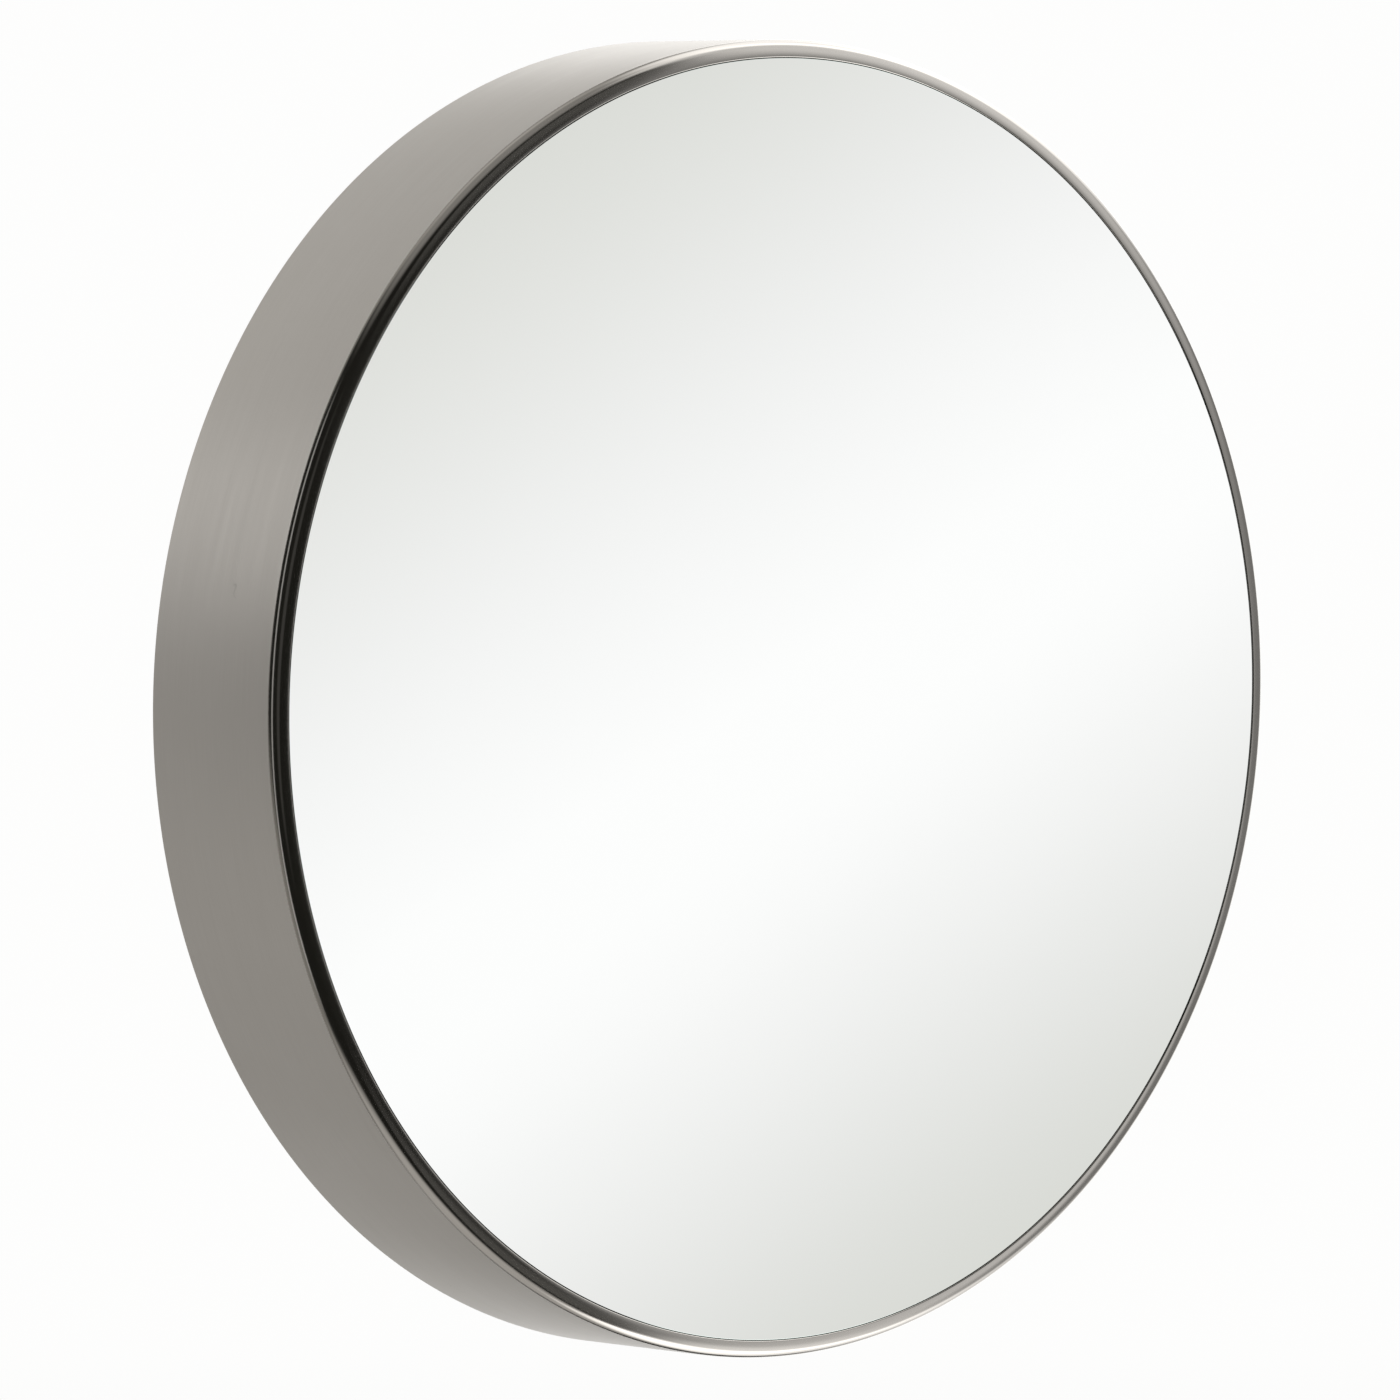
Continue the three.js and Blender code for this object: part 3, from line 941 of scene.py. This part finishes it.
def makeBackPanel(material):
    low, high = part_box("rear_panel")
    made = bmesh.new()
    rings = [(0, 0, high.x, panel["steps"])]
    rings += [(x, z, panel["screwHole"], panel["holeSteps"]) for x, z in screwSeats.values()]
    for x, z, radius, steps in rings:
        points = circle(made, radius, low.y, steps, x, z)
        for first, second in zip(points, points[1:] + points[:1]):
            made.edges.new((first, second))
    bmesh.ops.triangle_fill(made, use_beauty=True, edges=made.edges[:])
    grown = bmesh.ops.extrude_face_region(made, geom=made.faces[:])
    moved = [part for part in grown["geom"] if isinstance(part, bmesh.types.BMVert)]
    bmesh.ops.translate(made, verts=moved, vec=(0, high.y - low.y, 0))
    piece = finishPiece("back_panel", meshFrom("back_panel", made), ["rear_panel"], material)
    bevelEdges(piece, panel["bevel"], 3)


# screws: threaded shank, pan head, cross recess
screwForm = dict(
    shank=1.55 * mm,
    thread=2.05 * mm,
    pitch=1.5 * mm,
    stations=8,  # to a pitch
    point=3.2 * mm,
    neck=3 * mm,
    head=4 * mm,
    headHeight=2.2 * mm,
    headEdge=0.15 * mm,
    crossSpan=4.3 * mm,
    crossWidth=0.95 * mm,
    crossDepth=1.5 * mm,
    around=32,
    turnEach=0.83,  # radians from one screw to the next
)


def crossCutter(turn):
    top = screwForm["headHeight"] + 0.2 * mm
    bottom = screwForm["headHeight"] - screwForm["crossDepth"]
    made = bmesh.new()
    corners = []
    for y, shrink, thin in ((top, 1.06, 1.05), (bottom, 0.34, 0.6)):
        a, b = screwForm["crossSpan"] / 2 * shrink, screwForm["crossWidth"] / 2 * thin
        corners.append([made.verts.new((x, y, z)) for x, z in ((-a, -b), (a, -b), (a, b), (-a, b))])
    made.faces.new(corners[0])
    made.faces.new(corners[1])
    for c in range(4):
        made.faces.new((corners[0][c], corners[0][(c + 1) % 4], corners[1][(c + 1) % 4], corners[1][c]))
    bmesh.ops.rotate(made, verts=made.verts, matrix=Matrix.Rotation(turn, 3, "Y"))
    return meshFrom("cross", made)


def screwMesh(length):
    around, pitch, shank = screwForm["around"], screwForm["pitch"], screwForm["shank"]
    head, height, edge = screwForm["head"], screwForm["headHeight"], screwForm["headEdge"]
    made = bmesh.new()
    rows = [[made.verts.new((0, -length, 0))]]
    stations = int(length / pitch * screwForm["stations"])
    for station in range(1, stations):
        y = -length + length * station / stations
        point = min(1.0, (y + length) / screwForm["point"])
        neck = min(1.0, max(0.0, -y / screwForm["neck"] - 0.3))
        ring = []
        for step in range(around):
            a = 2 * math.pi * step / around
            phase = (y / pitch - step / around) % 1.0
            ridge = max(0.0, 1 - abs(phase - 0.5) / 0.3) * neck
            radius = (shank + (screwForm["thread"] - shank) * ridge) * point
            ring.append(made.verts.new((radius * math.cos(a), y, radius * math.sin(a))))
        rows.append(ring)
    dome = [(shank * 1.1, 0), (head - edge, 0), (head, edge), (head, 0.3 * height)]
    dome += [(head * cosine(t) ** 0.75, 0.3 * height + 0.7 * height * sine(t)) for t in range(6, 90, 6)]
    rows += [circle(made, radius, y, around) for radius, y in dome]
    rows.append([made.verts.new((0, height, 0))])
    joinRows(made, zip(rows, rows[1:]), around)
    solid = meshFrom("screw", made)
    return cutWith(solid, [crossCutter(0), crossCutter(math.pi / 2)])


def makeScrews(material):
    meshes = {}
    for index, name in enumerate(sorted(screwSeats)):
        low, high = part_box(name)
        length = round((high.y - low.y) - screwForm["headHeight"], 4)
        if length not in meshes:
            meshes[length] = screwMesh(length)
        x, z = screwSeats[name]
        mesh = meshes[length].copy()
        turned = Matrix.Rotation(index * screwForm["turnEach"], 4, "Y")
        mesh.transform(Matrix.Translation((x, high.y - screwForm["headHeight"], z)) @ turned)
        finishPiece(f"{name}_cross_head", mesh, [name], material, sharp=32)


# tabs that hold the pack in the drum
tab = dict(
    count=8,
    thickness=1 * mm,
    width=18 * mm,
    wallRadius=303.2 * mm,
    bend=1.6 * mm,
    panelLeg=15 * mm,
    wallLeg=25 * mm,
    round=2.5 * mm,
    bevel=0.18 * mm,
)


def roundedStart(half, turn):
    # the half width along a strip whose first two corners are rounded
    def width(gone):
        if gone >= turn:
            return half
        return half - turn + math.sqrt(max(turn * turn - (turn - gone) ** 2, 0))
    return width


def makeTabs(material):
    centreR = tab["wallRadius"] - tab["bend"]
    mid = tab["bend"] - tab["thickness"] / 2
    for index in range(tab["count"]):
        name = f"bend_tab_{index + 1}"
        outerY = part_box(name)[1].y
        centreY = outerY - tab["bend"]
        reach = tab["wallRadius"] - tab["panelLeg"]
        path = [(reach + tab["round"] * s / 8, centreY + mid) for s in range(9)]
        path += arc(centreR, centreY, mid, 90, 0, 10)
        path += [(centreR + mid, outerY - tab["wallLeg"])]
        mesh = foldedStrip(name, path, tab["thickness"], roundedStart(tab["width"] / 2, tab["round"]), 8)
        turn = math.radians((index + 0.5) * 360 / tab["count"])
        mesh.transform(Matrix.Rotation(-turn, 4, "Y"))
        piece = finishPiece(f"{name}_bent", mesh, [name], material)
        bevelEdges(piece, tab["bevel"])


# strap hangers and their rings
hanger = dict(
    width=20 * mm,
    length=60 * mm,
    thickness=1.5 * mm,
    knuckle=3.3 * mm,
    curl=284,  # degrees of the strip's roll round the wire
    round=4 * mm,
    bevel=0.2 * mm,
    hole=2.2 * mm,
    drops=(30 * mm, 46 * mm),
    wire=1.5 * mm,
    wireSteps=20,
    halfRing=12.5 * mm,
    leg=12 * mm,
    ringCorner=2.6 * mm,
)


def makeStrap(side, material):
    name = f"hanger_strap_{side}"
    low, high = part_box(name)
    centreX = middleOf(name)[0]
    mid = hanger["knuckle"] - hanger["thickness"] / 2
    hingeY = low.y + hanger["knuckle"]
    hingeZ = high.z - hanger["knuckle"]
    flatY = low.y + hanger["thickness"] / 2
    bottom = hingeZ - hanger["length"]
    path = [(bottom + hanger["round"] * s / 10, flatY) for s in range(10)]
    path += [(bottom + hanger["round"], flatY)]
    for step in range(41):
        a = math.radians(180 - hanger["curl"] * step / 40)
        path.append((hingeZ + mid * math.sin(a), hingeY + mid * math.cos(a)))
    width = roundedStart(hanger["width"] / 2, hanger["round"])
    mesh = foldedStrip(name, path, hanger["thickness"], width, 10)
    # the strip was drawn with its length along X, so it is stood up along Z
    mesh.transform(Matrix(((0, 0, 1, centreX), (0, 1, 0, 0), (1, 0, 0, 0), (0, 0, 0, 1))))
    mesh.flip_normals()
    drills = [cylinderAlongY(hanger["hole"], centreX, hingeZ - drop, low.y - 2 * mm, low.y + 6 * mm)
              for drop in hanger["drops"]]
    mesh = cutWith(mesh, drills)
    piece = finishPiece(f"{name}_rolled", mesh, [name], material)
    bevelEdges(piece, hanger["bevel"])


def ringPath():
    half, turn, leg = hanger["halfRing"], hanger["ringCorner"], hanger["leg"]
    points = [(x * half / 10, 0) for x in range(-7, 8)]
    points += [(half - turn + turn * math.cos(a), -turn + turn * math.sin(a))
               for a in (math.radians(90 - 9 * s) for s in range(11))]
    points += [(half, -turn - (leg - turn) * s / 6) for s in range(1, 6)]
    points += [(half * math.cos(a), -leg + half * math.sin(a))
               for a in (math.radians(-5 * s) for s in range(37))]
    points += [(-half, -leg + (leg - turn) * s / 6) for s in range(1, 6)]
    points += [(-half + turn + turn * math.cos(a), -turn + turn * math.sin(a))
               for a in (math.radians(180 - 9 * s) for s in range(11))]
    return points


def makeRing(side, material):
    name = f"d_ring_{side}"
    low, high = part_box(name)
    centreX = middleOf(name)[0]
    hingeY = (low.y + high.y) / 2
    hingeZ = high.z - hanger["wire"]
    made = bmesh.new()
    path = [Vector((x, 0, z)) for x, z in ringPath()]
    rows = []
    around = hanger["wireSteps"]
    middle = Vector((centreX, hingeY, hingeZ))
    for index, point in enumerate(path):
        tangent = (path[(index + 1) % len(path)] - path[index - 1]).normalized()
        across = tangent.cross(Vector((0, 1, 0))).normalized()
        row = []
        for step in range(around):
            a = 2 * math.pi * step / around
            offset = across * math.cos(a) + Vector((0, 1, 0)) * math.sin(a)
            row.append(made.verts.new(point + offset * hanger["wire"] + middle))
        rows.append(row)
    joinRows(made, zip(rows, rows[1:] + rows[:1]), around)
    mesh = meshFrom(name, made)
    finishPiece(f"{name}_wire", mesh, [name], material, body=f"d_ring_{side}")


# rubber feet
foot = dict(count=4, tip=9 * mm, tipRound=0.7 * mm, baseRound=0.35 * mm, dish=0.25 * mm, steps=72)


def makeFeet(material):
    tip, turn, base, dish = foot["tip"], foot["tipRound"], foot["baseRound"], foot["dish"]
    for index in range(foot["count"]):
        name = f"rubber_foot_{index + 1}"
        low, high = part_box(name)
        x, z = middleOf(name)
        radius = (high.x - low.x) / 2
        points = [(0, low.y)]
        points += arc(radius - base, low.y + base, base, -90, 0, 5)
        points += arc(tip - turn, high.y - turn, turn, 6, 90, 8)
        points += [(tip * 0.62, high.y), (tip * 0.56, high.y - dish * 0.5)]
        points += [(tip * 0.5, high.y - dish), (0, high.y - dish)]
        mesh = lathe(name, points, foot["steps"])
        mesh.transform(Matrix.Translation((x, 0, z)))
        finishPiece(f"{name}_bumper", mesh, [name], material, sharp=45)


# everything in its place
steel = satinSteel()
rubber = blackRubber()
board = blackPaintedBoard()
makeDrum(steel)
makePane()
makeSeal(rubber)
print("drum and glass made")

roundEdgedDisc("shatter_film", "safety_film", milkyFilm(), edgeRound["film"])
foamSheet = roundEdgedDisc("foam_sheet", "foam_pad", closedCellFoam(), edgeRound["foam"])
roundEdgedDisc("glass_backer", "front_board", rawBoard(), edgeRound["board"])
makeBackPanel(board)
pine = pineWood()
for name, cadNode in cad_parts.items():
    if name.startswith("spacer_block_"):
        cadNode.data.materials.clear()
        cadNode.data.materials.append(pine)
        weld = cadNode.modifiers.new("join", "WELD")
        weld.merge_threshold = 0.01 * mm
        bevelEdges(cadNode, edgeRound["blocks"])
print("backing made")

makeScrews(zincPlate("zincScrews", zinc["screws"]))
makeTabs(zincPlate("galvanisedTabs", zinc["tabs"]))
hangerZinc = zincPlate("zincHangers", zinc["hangers"])
for side in ("left", "right"):
    makeStrap(side, hangerZinc)
    makeRing(side, hangerZinc)
makeFeet(rubber)
print("hardware made")
